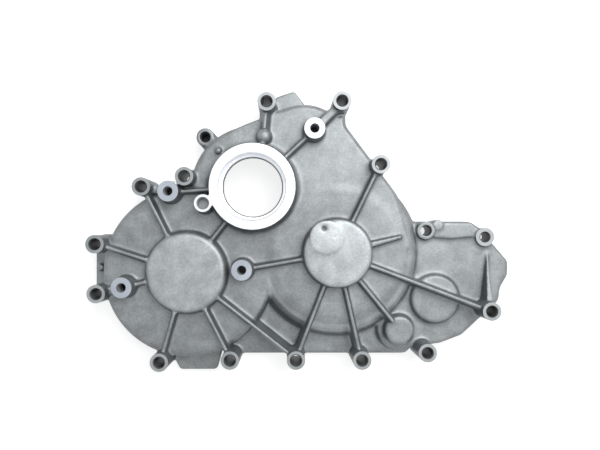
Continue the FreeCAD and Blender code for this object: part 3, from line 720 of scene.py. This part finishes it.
def seal_bore(mesh):
    turned_tool(mesh, seal_x, seal_y, [
        (seal_lip, -TOOL_REACH),
        (seal_lip, seal_floor),
        (seal_radius, seal_floor),
        (seal_radius, top - HOLE_CHAMFER),
        (seal_radius + HOLE_CHAMFER, top),
        (seal_radius + HOLE_CHAMFER, top + TOOL_REACH),
    ], BRIGHT_INDEX)


for tools in (joint_face, ring_face, boss_faces, hole_walls, seal_bore):
    machine(casting, tools, MATERIALS)

casting.data.polygons.foreach_set("use_smooth", [True] * len(casting.data.polygons))
casting.data.set_sharp_from_angle(angle=SHARP_ANGLE)
casting.data.update()
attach(casting, "root")
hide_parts(NODE)


def thread(mesh, hole):
    """Screw thread: a sharp ridge that winds down the wall of a tapped hole."""
    root = hole["radius"] + THREAD_DEPTH
    turns = (hole["level"] - hole["bottom"] - 2 * THREAD_PITCH) / THREAD_PITCH
    rise = THREAD_HALF_WIDTH * THREAD_PITCH
    section = [(root, -rise), (hole["radius"], 0), (root, rise)]
    rings = []
    for step in range(int(turns * THREAD_STEPS)):
        angle = 2 * math.pi * step / THREAD_STEPS
        level = hole["level"] - THREAD_PITCH * (1 + step / THREAD_STEPS)
        ring = []
        for radius, offset in section:
            x = hole["x"] + radius * math.cos(angle)
            y = hole["y"] - radius * math.sin(angle)
            ring.append(mesh.verts.new((x, y, level + offset)))
        rings.append(ring)
    for upper, lower in zip(rings, rings[1:]):
        for side in range(len(section)):
            after = (side + 1) % len(section)
            mesh.faces.new((upper[side], upper[after], lower[after], lower[side]))
    mesh.faces.new(rings[0][::-1])
    mesh.faces.new(rings[-1])


def threads():
    mesh = bmesh.new()
    for hole in tapped:
        thread(mesh, hole)
    bmesh.ops.recalc_face_normals(mesh, faces=mesh.faces)
    data = bpy.data.meshes.new("threads")
    mesh.to_mesh(data)
    mesh.free()
    data.materials.append(SATIN)
    made = new_object("threads", data)
    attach(made, "root")


threads()


# ---------------------------------------------------------------- studio

def background_rays(tree):
    """1 for the rays that see the white background: camera, glossy and transmission rays."""
    ray = tree.nodes.new("ShaderNodeLightPath")
    seen = ray.outputs["Is Camera Ray"]
    for kind in ("Is Glossy Ray", "Is Transmission Ray"):
        either = tree.nodes.new("ShaderNodeMath")
        either.operation = "MAXIMUM"
        tree.links.new(seen, either.inputs[0])
        tree.links.new(ray.outputs[kind], either.inputs[1])
        seen = either.outputs[0]
    return seen


def floor():
    mesh = bpy.data.meshes.new("floor")
    corners = ((-1, -1), (1, -1), (1, 1), (-1, 1))
    spots = [(x * FLOOR_HALF, y * FLOOR_HALF, 0) for x, y in corners]
    mesh.from_pydata(spots, [], [(0, 1, 2, 3)])
    made = new_object("floor", mesh)
    made.location.z = FLOOR_LEVEL
    material, tree, shader = node_setup("floor")
    shader.inputs["Base Color"].default_value = (*FLOOR_COLOUR, 1)
    shader.inputs["Roughness"].default_value = FLOOR_ROUGHNESS
    shader.inputs["Emission Color"].default_value = (*WHITE, 1)
    glow = spread(tree, background_rays(tree), 0, 1, 0, FLOOR_GLOW)
    tree.links.new(glow, shader.inputs["Emission Strength"])
    made.data.materials.append(material)


def key_light():
    """Square lamp that points at the origin."""
    lamp = bpy.data.lights.new("key", "AREA")
    lamp.shape = "SQUARE"
    lamp.size = KEY_SIZE
    lamp.energy = KEY_POWER
    made = new_object("key", lamp)
    made.location = KEY_PLACE
    made.rotation_euler = (-Vector(KEY_PLACE)).to_track_quat("-Z", "Y").to_euler()


def surroundings():
    """World that lights the part softly and shows as white behind it."""
    world = bpy.data.worlds.new("studio")
    world.use_nodes = True
    tree = world.node_tree
    light = tree.nodes["Background"]
    light.inputs["Color"].default_value = (*WORLD_COLOUR, 1)
    light.inputs["Strength"].default_value = WORLD_STRENGTH
    seen = tree.nodes.new("ShaderNodeBackground")
    seen.inputs["Color"].default_value = (*WHITE, 1)
    choice = tree.nodes.new("ShaderNodeMixShader")
    tree.links.new(background_rays(tree), choice.inputs[0])
    tree.links.new(light.outputs[0], choice.inputs[1])
    tree.links.new(seen.outputs[0], choice.inputs[2])
    tree.links.new(choice.outputs[0], tree.nodes["World Output"].inputs["Surface"])
    bpy.context.scene.world = world


def camera():
    lens = bpy.data.cameras.new("camera")
    lens.sensor_width = SENSOR_WIDTH
    lens.lens = FOCAL_LENGTH
    lens.shift_x, lens.shift_y = CAMERA_SHIFT
    lens.clip_start = NEAR_CLIP
    made = new_object("camera", lens)
    made.location = CAMERA_PLACE
    bpy.context.scene.camera = made


floor()
surroundings()
key_light()
camera()
bpy.context.scene.view_settings.view_transform = "Standard"
